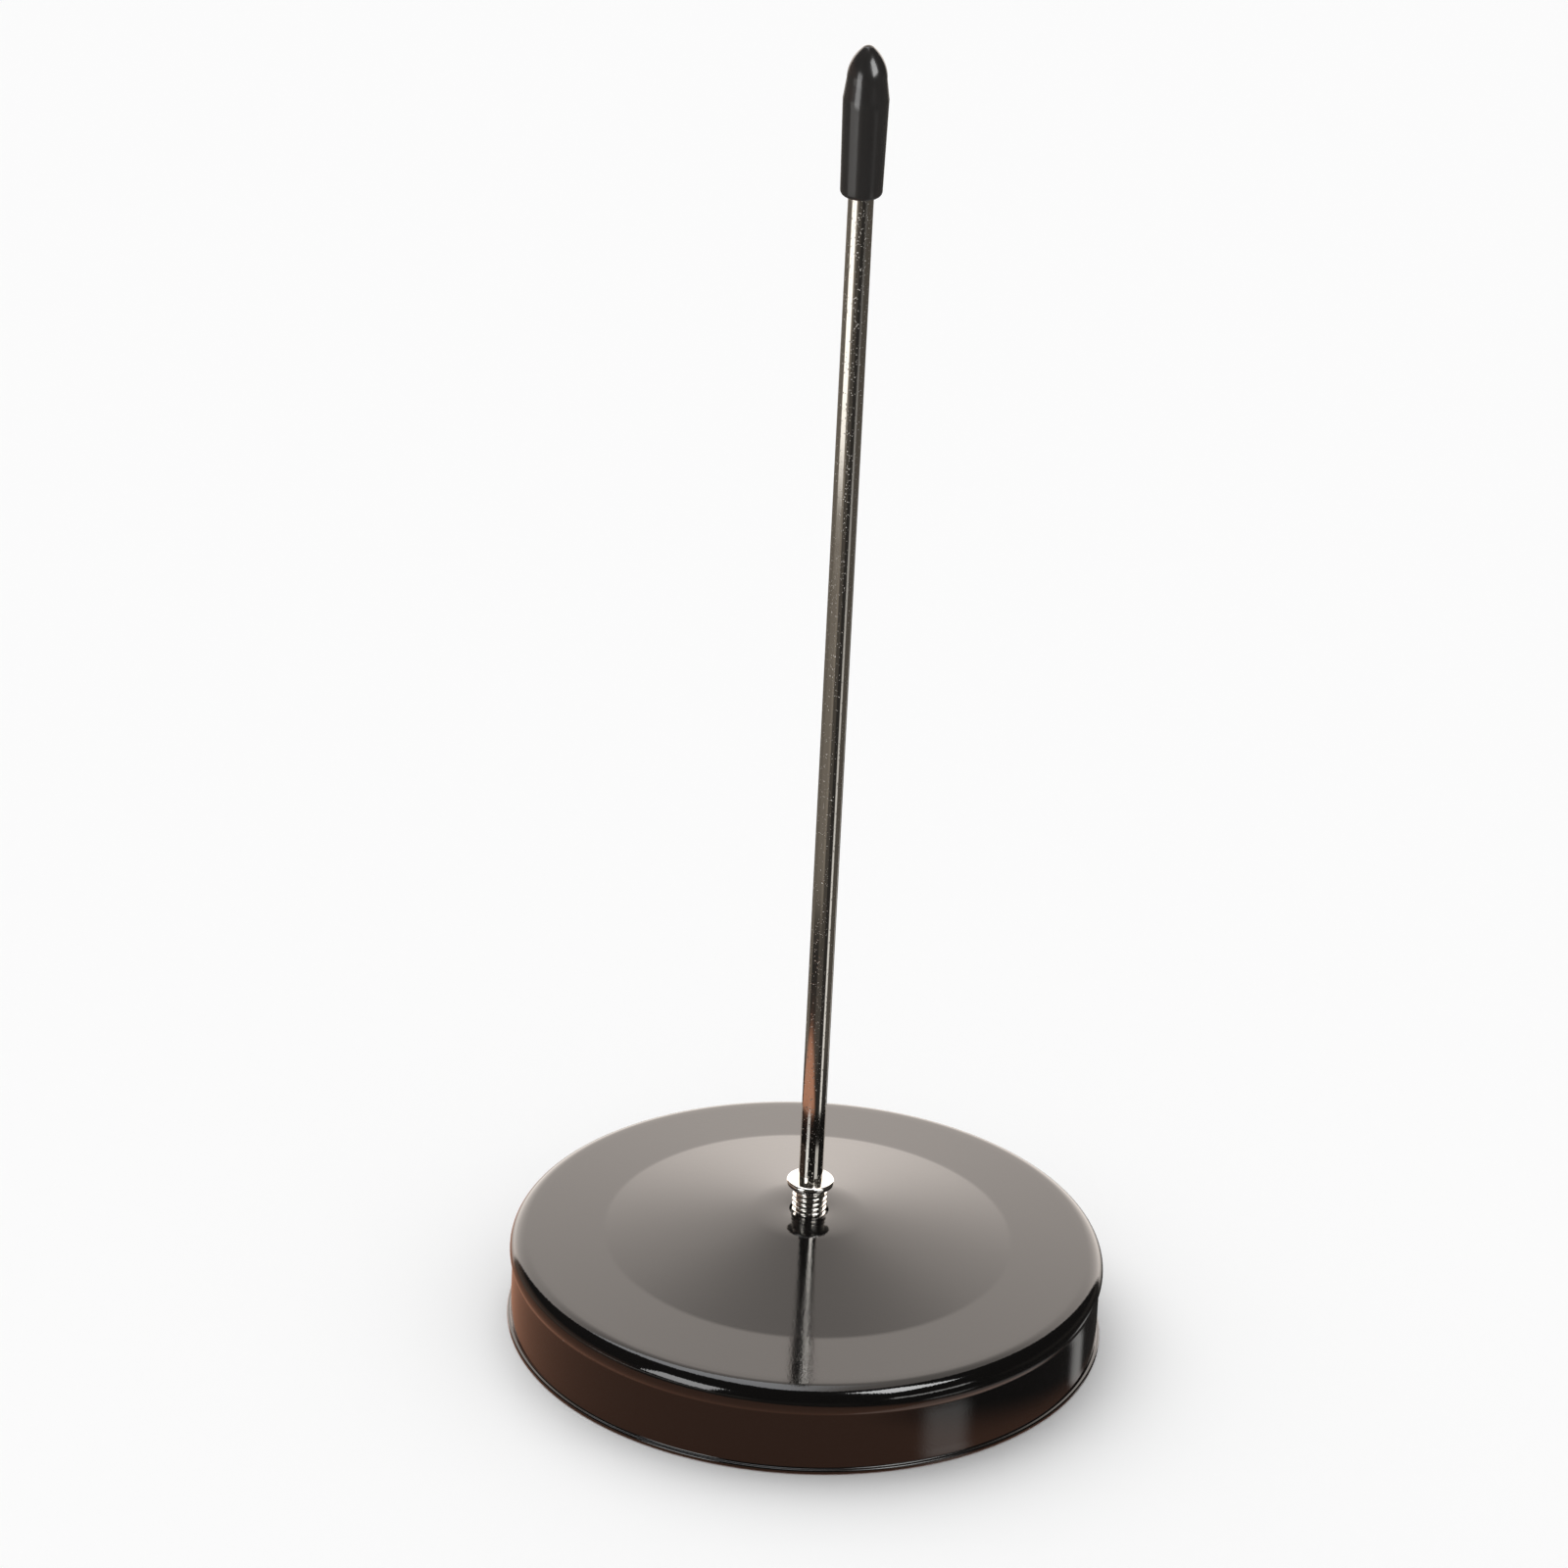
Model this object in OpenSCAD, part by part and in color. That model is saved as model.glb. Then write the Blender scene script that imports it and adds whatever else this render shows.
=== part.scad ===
// Bill spike: a pressed steel base, a plated spike that screws into it and a soft cap on its point.
// Millimetres, +Z up. The origin is the middle of the base, on the table.

/* [Base] */
// Widest diameter of the base, across its rounded top edge
base_d = 85; // [70:1:110]
// Height of the rim's outer edge above the table
base_h = 13.4; // [9:0.1:20]
// Slope of the rim up towards the cone, in degrees
rim_slope = 3.8; // [0:0.2:6]
// Thickness of the pressed sheet
sheet_t = 0.9; // [0.6:0.1:1.2]
// Outer radius of the rounded top edge
edge_r = 2.6; // [1.8:0.1:3.5]
// Radius of the neck under the rounded edge
neck_r = 0.5; // [0.3:0.1:2]
// How far the skirt is drawn in below the rounded edge
skirt_in = 0.4; // [0.1:0.05:0.8]
// Height of the upright hem at the foot of the skirt
hem_h = 0.4; // [0.3:0.05:2]
// How far the hem stands out from the skirt
hem_out = 0.5; // [0.2:0.05:0.7]
// Height over which the skirt flares out to the hem
flare_h = 0.6; // [0.5:0.05:2.5]
// Radius that rounds the hem's foot
hem_r = 0.25; // [0.1:0.05:0.3]

/* [Cone] */
// Diameter of the crease where the cone meets the rim
crease_d = 59; // [46:1:78]
// Height of the cone's flat top above the rim's outer edge
cone_h = 5; // [4:0.1:9]
// Diameter of the flat top, which seats the nut
seat_d = 9; // [8:0.1:12]
// Radius that rounds the cone into its flat top
crown_r = 22; // [8:1:30]
// Radius that blends the cone into the rim
crease_r = 6; // [2:0.5:12]

/* [Thread] */
// Nominal diameter of the screw thread
thread_d = 5; // [4.5:0.1:6]
// Pitch of the screw thread
thread_p = 0.8; // [0.6:0.05:1]
// Length of the threaded shank below the collar
shank_l = 9.2; // [7.5:0.1:12]
// Length of thread that shows between the collar and the base
screw_out = 4; // [0:0.1:4.5]
// Clearance between the screw's flanks and the nut's, along the thread
thread_gap = 0.08; // [0.04:0.01:0.14]
// Clearance between the thread and the hole in the sheet, all round
hole_gap = 0.3; // [0.2:0.05:0.6]

/* [Nut] */
// Width of the nut across its flats
nut_af = 8; // [8:0.5:10]
// Height of the nut
nut_h = 4; // [3:0.1:5]

/* [Collar] */
// Diameter of the collar
collar_d = 6.8; // [6.2:0.1:9]
// Thickness of the collar
collar_t = 1; // [0.8:0.1:2]
// Radius that rounds the collar's rim
collar_r = 0.4; // [0.1:0.05:0.4]

/* [Rod] */
// Diameter of the rod
rod_d = 3.5; // [3:0.1:4.5]
// Length of the rod from the collar to its point
rod_l = 170.4; // [100:0.2:220]
// Length of the ground point
point_l = 10; // [4:0.5:14]
// Diameter of the blunted end of the point
point_d = 0.3; // [0.2:0.1:0.8]
// Diameter of the turned-down end that sits in the stud
tenon_d = 2.5; // [1.8:0.1:2.8]
// Length of the turned-down end
tenon_l = 7; // [4:0.1:8]
// Clearance between the turned-down end and the stud's bore, all round
tenon_gap = 0.05; // [0.02:0.01:0.1]
// Room left below the turned-down end
tenon_room = 0.3; // [0.1:0.1:1]

/* [Cap] */
// Length of the cap
cap_l = 21.5; // [20:0.1:30]
// Diameter of the cap at its mouth
cap_d = 5.75; // [5.6:0.05:7]
// Diameter of the cap at its shoulder
shoulder_d = 6.28; // [5.8:0.02:8]
// Height of the shoulder above the mouth
shoulder_l = 13.9; // [8:0.1:16]
// Diameter where the rounded nose starts
nose_d = 5.48; // [4.8:0.02:6]
// Length of the rounded nose
nose_l = 4.7; // [3.5:0.1:6]
// Radius of the nose's tip
tip_r = 1.1; // [0.6:0.05:2]
// Radius that rounds the cap's mouth
mouth_r = 0.7; // [0.2:0.05:0.8]
// Thickness of the cap's closed end
cap_end_t = 2.5; // [1.5:0.1:3]
// Clearance between the cap and the rod, all round and over the point
cap_gap = 0.06; // [0.03:0.01:0.1]

/* [Hidden] */
$fn = 96;

// Steps that make up an arc, and steps that make up one turn of a thread
arc_steps = 8;
turn_steps = 24;

// Base
base_r = base_d / 2;
apex_z = base_h + cone_h;
seat_z = apex_z - sheet_t;
hole_r = thread_d / 2 + hole_gap;
skirt_r = base_r - skirt_in;
foot_r = skirt_r + hem_out;

// The rounded edge runs into the neck, and the two arcs draw the skirt in
edge_centre = [base_r - edge_r, base_h - edge_r];
neck_angle = acos(1 - skirt_in / (edge_r + neck_r));
neck_centre = edge_centre + (edge_r + neck_r) * [cos(neck_angle), -sin(neck_angle)];

// The skirt flares out to the hem in two equal arcs
flare_angle = 2 * atan(hem_out / flare_h);
flare_r = flare_h / 2 / sin(flare_angle);

// The rim rises from the rounded edge to the crease
rim_end = edge_centre + edge_r * [sin(rim_slope), cos(rim_slope)];
crease_z = rim_end[1] + (rim_end[0] - crease_d / 2) * tan(rim_slope);
crease_centre = [crease_d / 2, crease_z] + crease_r * [sin(rim_slope), cos(rim_slope)];

// The straight part of the cone is tangent to the crown's arc and to the crease's arc
crown_centre = [seat_d / 2, apex_z - crown_r];
cone_span = crease_centre - crown_centre;
cone_slope = atan2(cone_span[0], cone_span[1]) - acos((crown_r + crease_r) / norm(cone_span));

// Nut
nut_z = seat_z - nut_h;
nut_corner_r = nut_af / 2 / cos(30);
nut_face_r = 0.95 * nut_af / 2;

// Spike
rod_r = rod_d / 2;
collar_z = apex_z + screw_out;
shank_z = collar_z - shank_l;
rod_z = collar_z + collar_t;
point_z = rod_z + rod_l;

// Cap
bore_r = rod_r + cap_gap;
bore_z = point_z + cap_gap;
cap_top_z = bore_z + cap_end_t;
cap_z = cap_top_z - cap_l;
lip_r = min(mouth_r, 0.75 * (cap_d / 2 - bore_r));
nose_z = cap_top_z - nose_l;

// The side of the nose is a long arc that leaves the shoulder upright and runs into the tip
nose_r = (pow(nose_d / 2, 2) - pow(tip_r, 2) + pow(nose_l - tip_r, 2)) / (nose_d - 2 * tip_r);
nose_turn = atan2(nose_l - tip_r, nose_r - nose_d / 2);

// Thread, in the proportions of a metric one. The nut's thread is the screw's, grown by its clearances
screw_crest_r = thread_d / 2 - thread_p / 16;
screw_root_r = screw_crest_r - 0.6 * thread_p;
nut_crest_r = thread_d / 2 + thread_p / 16;
nut_root_r = nut_crest_r - 0.57 * thread_p;
screw_start_z = shank_z - thread_p;
screw_turns = ceil((shank_l + collar_t) / thread_p) + 3;
nut_start_z = screw_start_z + thread_p * floor((nut_z - screw_start_z) / thread_p - 1);
nut_turns = ceil(nut_h / thread_p) + 4;

function reversed(list) = [for (i = [len(list) - 1 : -1 : 0]) list[i]];

// Points along an arc, with both its ends
function arc(centre, r, from, to) = [
    for (i = [0 : arc_steps])
        let (a = from + (to - from) * i / arc_steps)
        centre + r * [cos(a), sin(a)]
];

// Outline of the sheet from its hole to its skirt, at a depth under the painted face
function sheet_line(depth) = concat(
    [[hole_r, apex_z - depth]],
    arc(crown_centre, crown_r - depth, 90, 90 - cone_slope),
    arc(crease_centre, crease_r + depth, 270 - cone_slope, 270 - rim_slope),
    arc(edge_centre, edge_r - depth, 90 - rim_slope, -neck_angle),
    arc(neck_centre, neck_r + depth, 180 - neck_angle, 180)
);

// Width of a thread's ridge at a radius, with slack added
function ridge_w(r, slack) = thread_p / 8 + 2 * tan(30) * (thread_d / 2 - r) + slack;

// Corners of a thread's ridge at one step, from its lower root to its upper root
function ridge(step, z, root_r, crest_r, slack) =
    let (
        a = 360 * step / turn_steps,
        mid_z = z + thread_p * step / turn_steps,
        root_w = ridge_w(root_r, slack),
        crest_w = ridge_w(crest_r, slack)
    )
    [
        for (corner = [[root_r, -root_w], [crest_r, -crest_w], [crest_r, crest_w], [root_r, root_w]])
            [corner[0] * cos(a), corner[0] * sin(a), mid_z + corner[1] / 2]
    ];

// Share of a ridge's height at one step: a screw's ridge grows over the second turn from its end
function ridge_share(step, grows) = grows ? min(1, max(0.1, step / turn_steps - 1)) : 1;

// Round bar with a helical ridge that starts at height z
module threaded_bar(z, turns, root_r, crest_r, slack, grows) {
    last = turns * turn_steps;
    rows = [
        for (i = [0 : last])
            ridge(i, z, root_r, root_r + (crest_r - root_r) * ridge_share(i, grows), slack)
    ];
    ends = [[0, 0, z], [0, 0, z + turns * thread_p]];
    foot = 4 * (last + 1);
    head = foot + 1;
    foot_loop = concat([for (i = [0 : turn_steps]) 4 * i], [3, 2, 1, 0]);
    head_loop = concat(
        [for (i = [last - turn_steps : last]) 4 * i + 3],
        [4 * last + 2, 4 * last + 1, 4 * last, 4 * (last - turn_steps) + 3]
    );
    flanks = [
        for (i = [0 : last - 1], j = [0 : 2])
            let (a = 4 * i + j)
            each [[a, a + 1, a + 5], [a, a + 5, a + 4]]
    ];
    roots = [
        for (i = [0 : last - turn_steps - 1])
            let (a = 4 * i + 3, b = 4 * (i + turn_steps))
            each [[a, b, b + 4], [a, b + 4, a + 4]]
    ];
    feet = [for (i = [0 : len(foot_loop) - 2]) [foot_loop[i], foot_loop[i + 1], foot]];
    heads = [for (i = [0 : len(head_loop) - 2]) [head_loop[i + 1], head_loop[i], head]];
    polyhedron(concat([for (row = rows) each row], ends), concat(flanks, roots, feet, heads));
}

// Pressed sheet base with a low cone, a sloping rim, a rounded edge, a skirt and a flared hem
module base_shell() {
    hem_line = concat(
        arc([skirt_r + flare_r, hem_h + flare_h], flare_r, 180, 180 + flare_angle),
        arc([foot_r - flare_r, hem_h], flare_r, flare_angle, 0),
        arc([foot_r - hem_r, hem_r], hem_r, 0, -90)
    );
    color("#1b1a1a")
        rotate_extrude()
            polygon(concat(
                sheet_line(0),
                hem_line,
                [[skirt_r - sheet_t, 0]],
                reversed(sheet_line(sheet_t))
            ));
}

// Hex nut welded under the flat top of the cone, with chamfered corners and its own thread
module base_nut() {
    reach = nut_corner_r - nut_face_r;
    chamfer = reach * tan(30);
    color("#a7a49e")
        difference() {
            intersection() {
                translate([0, 0, nut_z])
                    cylinder(r = nut_corner_r, h = nut_h, $fn = 6);
                rotate_extrude()
                    polygon([
                        [0, nut_z],
                        [nut_face_r, nut_z],
                        [nut_face_r + 2 * reach, nut_z + 2 * chamfer],
                        [nut_face_r + 2 * reach, seat_z - 2 * chamfer],
                        [nut_face_r, seat_z],
                        [0, seat_z]
                    ]);
            }
            threaded_bar(nut_start_z, nut_turns, nut_root_r, nut_crest_r, thread_gap, false);
        }
}

// Collar and threaded shank, bored for the rod's turned-down end
module threaded_stud() {
    rim_r = collar_d / 2 - collar_r;
    color("#dad8d3")
        difference() {
            union() {
                rotate_extrude()
                    polygon(concat(
                        [[0, collar_z]],
                        arc([rim_r, collar_z + collar_r], collar_r, -90, 0),
                        arc([rim_r, rod_z - collar_r], collar_r, 0, 90),
                        [[0, rod_z]]
                    ));
                intersection() {
                    threaded_bar(screw_start_z, screw_turns, screw_root_r, screw_crest_r, -thread_gap, true);
                    translate([0, 0, shank_z])
                        cylinder(r = collar_d, h = shank_l + collar_t / 2);
                }
            }
            translate([0, 0, rod_z - tenon_l - tenon_room])
                cylinder(r = tenon_d / 2 + tenon_gap, h = tenon_l + tenon_room + collar_t);
        }
}

// Straight plated rod with a turned-down foot and a ground point
module spike_rod() {
    color("#cbc8c2")
        rotate_extrude()
            polygon([
                [0, rod_z - tenon_l],
                [tenon_d / 2, rod_z - tenon_l],
                [tenon_d / 2, rod_z],
                [rod_r, rod_z],
                [rod_r, point_z - point_l],
                [point_d / 2, point_z],
                [0, point_z]
            ]);
}

// Soft cap with a rounded mouth, a shoulder and a bullet-shaped nose
module tip_cap() {
    nose = concat(
        arc([nose_d / 2 - nose_r, nose_z], nose_r, 0, nose_turn),
        arc([0, cap_top_z - tip_r], tip_r, nose_turn, 90)
    );
    color("#252322")
        rotate_extrude()
            polygon(concat(
                [[bore_r, cap_z]],
                arc([cap_d / 2 - lip_r, cap_z + lip_r], lip_r, -90, 0),
                [[shoulder_d / 2, cap_z + shoulder_l]],
                nose,
                [
                    [0, bore_z],
                    [point_d / 2 + cap_gap, bore_z],
                    [bore_r, bore_z - point_l]
                ]
            ));
}

base_shell();
base_nut();
threaded_stud();
spike_rod();
tip_cap();
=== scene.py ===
import math

import bpy
from mathutils import Matrix, Vector


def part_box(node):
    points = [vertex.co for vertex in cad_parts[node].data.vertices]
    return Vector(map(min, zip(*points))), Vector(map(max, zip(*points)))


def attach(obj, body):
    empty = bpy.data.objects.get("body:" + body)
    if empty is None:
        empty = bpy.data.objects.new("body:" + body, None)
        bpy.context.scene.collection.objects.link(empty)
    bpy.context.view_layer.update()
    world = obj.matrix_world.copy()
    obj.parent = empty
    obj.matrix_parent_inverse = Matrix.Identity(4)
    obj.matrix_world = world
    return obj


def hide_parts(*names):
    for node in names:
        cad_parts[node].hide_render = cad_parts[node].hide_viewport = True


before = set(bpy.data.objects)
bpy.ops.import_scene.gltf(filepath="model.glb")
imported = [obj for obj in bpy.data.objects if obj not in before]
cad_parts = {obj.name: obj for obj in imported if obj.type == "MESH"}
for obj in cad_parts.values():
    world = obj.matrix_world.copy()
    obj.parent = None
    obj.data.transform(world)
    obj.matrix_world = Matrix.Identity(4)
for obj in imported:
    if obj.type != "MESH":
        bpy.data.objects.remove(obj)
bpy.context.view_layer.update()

# Bill spike: a pressed and painted base, a plated spike on a threaded stud, and a soft cap on its
# point. Lengths are in metres, +Z is up, and the origin is the middle of the base, on the table.

MM = 0.001
MERGE_GAP = 0.001 * MM

# Places that the frame sets
_, shell_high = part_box("base_shell")
nut_low, nut_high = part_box("base_nut")
stud_low, stud_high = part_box("threaded_stud")
_, rod_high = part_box("spike_rod")
cap_low, cap_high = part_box("tip_cap")

APEX_Z = shell_high.z
SHANK_Z = stud_low.z
COLLAR_TOP_Z = stud_high.z
POINT_Z = rod_high.z

# Pressed base
BASE_R = 42.5 * MM
RIM_Z = 13.4 * MM
RIM_SLOPE = 3.8
SHEET_T = 0.9 * MM
EDGE_R = 2.6 * MM
NECK_ROUND = 0.5 * MM
SKIRT_IN = 0.4 * MM
HEM_R = shell_high.x
HEM_H = 0.4 * MM
FLARE_H = 0.6 * MM
HEM_ROUND = 0.25 * MM
CREASE_R = 29.5 * MM
SEAT_R = 4.5 * MM
CROWN_ROUND = 22 * MM
CREASE_ROUND = 6 * MM
HOLE_R = 2.8 * MM
HOLE_ROUND = 0.15 * MM
BASE_SIDES = 256

# Screw thread
PITCH = 0.8 * MM
CREST_R = 2.45 * MM
ROOT_R = 1.97 * MM
NUT_CREST_R = 2.55 * MM
NUT_ROOT_R = 2.094 * MM
NUT_DRILL_R = 1.99 * MM
NUT_MOUTH_R = 2.75 * MM
CREST_SHARE = 0.08
ROOT_SHARE = 0.06
FLANK_STEPS = 8
TURN_STEPS = 70
END_CHAMFER = 0.45 * MM

# Hexagon nut
HEX_SIDES = 6
HALF_SIDE = math.radians(30)
NUT_FACE_SHARE = 0.95
NUT_CHAMFER = math.radians(30)
DRILL_PAST = 0.1 * MM

# Collar and bore of the stud
COLLAR_R = stud_high.x
COLLAR_T = 0.97 * MM
COLLAR_ROUND = 0.42 * MM
TENON_R = 1.25 * MM
TENON_GAP = 0.05 * MM
TENON_L = 7.0 * MM
TENON_ROOM = 0.3 * MM

# Rod and its point
ROD_R = rod_high.x
POINT_L = 10 * MM
POINT_R = 0.15 * MM
ROD_SIDES = 96

# Soft cap
CAP_GAP = 0.06 * MM
CAP_MOUTH_R = 2.875 * MM
CAP_SHOULDER_R = cap_high.x
CAP_SHOULDER_L = 13.9 * MM
CAP_NOSE_R = 2.74 * MM
CAP_NOSE_L = 4.7 * MM
CAP_TIP_R = 1.1 * MM
CAP_LIP = 0.7 * MM
CAP_SIDES = 128

# Steps along the parts of an outline
FACE_STEPS = 10
UNDER_STEPS = 6
ROUND_STEPS = 8
HOLE_STEPS = 4
SKIRT_STEPS = 6
LONG_STEPS = 16
TAPER_STEPS = 6
TIP_STEPS = 10

# Edges that are sharper than these angles, in degrees, stay crisp
BASE_CRISP = 40
NUT_CRISP = 25
STUD_CRISP = 40
ROD_CRISP = 30
CAP_CRISP = 50


# Modelling

def arc(centre, radius, start, end, steps):
    """Points along an arc in the plane of radius and height, with both ends. Angles are in degrees."""
    points = []
    for step in range(steps + 1):
        angle = math.radians(start + (end - start) * step / steps)
        points.append((centre[0] + radius * math.cos(angle), centre[1] + radius * math.sin(angle)))
    return points


def straight(start, end, steps):
    """Points between two points of an outline, without the ends."""
    return [
        (start[0] + (end[0] - start[0]) * step / steps, start[1] + (end[1] - start[1]) * step / steps)
        for step in range(1, steps)
    ]


def start_piece(name):
    """The primitive that was just added becomes a named piece with its place in its mesh."""
    piece = bpy.context.object
    piece.name = name
    piece.data.name = name
    bpy.ops.object.transform_apply(location=True, rotation=True, scale=True)
    return piece


def pick(piece):
    """Only this piece is selected and active."""
    bpy.ops.object.select_all(action="DESELECT")
    piece.select_set(True)
    bpy.context.view_layer.objects.active = piece


def merge_and_face_out():
    """In edit mode, doubled corners are merged and every face is turned outward."""
    bpy.ops.mesh.select_all(action="SELECT")
    bpy.ops.mesh.remove_doubles(threshold=MERGE_GAP)
    bpy.ops.mesh.normals_make_consistent(inside=False)


def close_on_axis(rise):
    """The selected ring is extruded by a rise and drawn together into a pole."""
    bpy.ops.mesh.extrude_edges_move(TRANSFORM_OT_translate={"value": (0, 0, rise)})
    bpy.ops.mesh.merge(type="CENTER")


def turned(name, outline, sides):
    """A closed body turned round Z: a ring is drawn at the first point and extruded to each next one.

    An outline that starts or ends on the axis gets a pole there, and any other one closes on itself.
    """
    bpy.ops.object.select_all(action="DESELECT")
    pole_first = outline[0][0] == 0
    pole_last = outline[-1][0] == 0
    rings = outline[1:] if pole_first else list(outline)
    rings = rings[:-1] if pole_last else rings + [rings[0]]
    radius, height = rings[0]
    bpy.ops.mesh.primitive_circle_add(vertices=sides, radius=radius, location=(0, 0, height))
    piece = start_piece(name)
    bpy.ops.object.mode_set(mode="EDIT")
    bpy.ops.mesh.select_mode(type="EDGE")
    bpy.ops.mesh.select_all(action="SELECT")
    if pole_first:
        close_on_axis(outline[0][1] - height)
        bpy.ops.mesh.select_all(action="DESELECT")
        bpy.ops.mesh.select_non_manifold(extend=False)
    for next_radius, next_height in rings[1:]:
        bpy.ops.mesh.extrude_edges_move(TRANSFORM_OT_translate={"value": (0, 0, next_height - height)})
        share = next_radius / radius
        bpy.ops.transform.resize(value=(share, share, 1), center_override=(0, 0, 0))
        radius, height = next_radius, next_height
    if pole_last:
        close_on_axis(outline[-1][1] - height)
    merge_and_face_out()
    bpy.ops.object.mode_set(mode="OBJECT")
    return piece


def drawn_line(name, points):
    """A chain of edges in the XZ plane: one corner is placed and extruded to each next point."""
    bpy.ops.object.select_all(action="DESELECT")
    bpy.ops.mesh.primitive_plane_add(size=MM, location=(points[0][0], 0, points[0][1]))
    piece = start_piece(name)
    bpy.ops.object.mode_set(mode="EDIT")
    bpy.ops.mesh.select_mode(type="VERT")
    bpy.ops.mesh.select_all(action="SELECT")
    bpy.ops.mesh.merge(type="CENTER")
    for last, point in zip(points, points[1:]):
        step = (point[0] - last[0], 0, point[1] - last[1])
        bpy.ops.mesh.extrude_vertices_move(TRANSFORM_OT_translate={"value": step})
    bpy.ops.object.mode_set(mode="OBJECT")
    return piece


def apply_modifier(piece, kind, **settings):
    """A modifier is added with its settings and applied."""
    pick(piece)
    modifier = piece.modifiers.new(kind.lower(), kind)
    for setting, value in settings.items():
        setattr(modifier, setting, value)
    bpy.ops.object.modifier_apply(modifier=modifier.name)


def cut(piece, tool, operation):
    """The piece is joined with, cut by or kept inside the tool, and its doubled corners are merged."""
    apply_modifier(piece, "BOOLEAN", object=tool, operation=operation, solver="EXACT")
    bpy.data.objects.remove(tool)
    bpy.ops.object.mode_set(mode="EDIT")
    merge_and_face_out()
    bpy.ops.object.mode_set(mode="OBJECT")


def smooth(piece, angle):
    """Smooth shading, with edges sharper than the angle kept crisp."""
    pick(piece)
    bpy.ops.object.shade_smooth_by_angle(angle=math.radians(angle))


def thread_line(root, crest, low):
    """One pitch of a thread's outline from root to root, with a rounded root and crest."""
    flank = (1 - CREST_SHARE - ROOT_SHARE) / 2
    rise = []
    for step in range(FLANK_STEPS + 1):
        share = step / FLANK_STEPS
        eased = share * share * (3 - 2 * share)
        rise.append((root + (crest - root) * eased, ROOT_SHARE / 2 + flank * share))
    fall = [(radius, 1 - share) for radius, share in reversed(rise)]
    line = [(root, 0), *rise, *fall, (root, 1)]
    return [(radius, low + PITCH * share) for radius, share in line]


def threaded_bar(name, root, crest, low, high):
    """A round bar with a right-hand thread that covers low to high and runs past both."""
    first_crest = SHANK_Z - PITCH
    turns_below = math.floor((low - first_crest) / PITCH) - 1
    start = first_crest + PITCH * (turns_below - 0.5)
    turns = math.ceil((high - start) / PITCH) + 1
    bar = drawn_line(name, thread_line(root, crest, start))
    apply_modifier(
        bar, "SCREW", axis="Z", angle=math.tau, screw_offset=PITCH, iterations=turns,
        steps=TURN_STEPS, render_steps=TURN_STEPS, use_merge_vertices=False,
    )
    bpy.ops.object.mode_set(mode="EDIT")
    bpy.ops.mesh.select_mode(type="EDGE")
    bpy.ops.mesh.select_all(action="SELECT")
    bpy.ops.mesh.remove_doubles(threshold=MERGE_GAP)
    bpy.ops.mesh.select_all(action="DESELECT")
    bpy.ops.mesh.select_non_manifold(extend=False)
    bpy.ops.mesh.fill_holes(sides=0)
    bpy.ops.mesh.select_all(action="SELECT")
    bpy.ops.mesh.normals_make_consistent(inside=False)
    bpy.ops.object.mode_set(mode="OBJECT")
    return bar


# Pieces

def sheet_line(depth, steps):
    """The pressed sheet's line from the cone's top to the neck, at a depth under the painted face."""
    tilt = math.radians(RIM_SLOPE)
    edge_centre = (BASE_R - EDGE_R, RIM_Z - EDGE_R)
    rim_end = (edge_centre[0] + EDGE_R * math.sin(tilt), edge_centre[1] + EDGE_R * math.cos(tilt))
    crease_z = rim_end[1] + (rim_end[0] - CREASE_R) * math.tan(tilt)
    crease_centre = (CREASE_R + CREASE_ROUND * math.sin(tilt), crease_z + CREASE_ROUND * math.cos(tilt))
    crown_centre = (SEAT_R, APEX_Z - CROWN_ROUND)
    run = crease_centre[0] - crown_centre[0]
    rise = crease_centre[1] - crown_centre[1]
    rounds = CROWN_ROUND + CREASE_ROUND
    slope = math.degrees(math.atan2(run, rise) - math.acos(rounds / math.hypot(run, rise)))
    neck_reach = EDGE_R + NECK_ROUND
    neck = math.degrees(math.acos(1 - SKIRT_IN / neck_reach))
    neck_centre = (
        edge_centre[0] + neck_reach * math.cos(math.radians(neck)),
        edge_centre[1] - neck_reach * math.sin(math.radians(neck)),
    )
    crown = arc(crown_centre, CROWN_ROUND - depth, 90, 90 - slope, steps)
    crease = arc(crease_centre, CREASE_ROUND + depth, 270 - slope, 270 - RIM_SLOPE, steps)
    edge = arc(edge_centre, EDGE_R - depth, 90 - RIM_SLOPE, -neck, 2 * steps)
    roll = arc(neck_centre, NECK_ROUND + depth, 180 - neck, 180, steps // 2)
    cone = straight(crown[-1], crease[0], steps)
    rim = straight(crease[-1], edge[0], steps)
    return [*crown, *cone, *crease, *rim, *edge, *roll[1:]]


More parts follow.
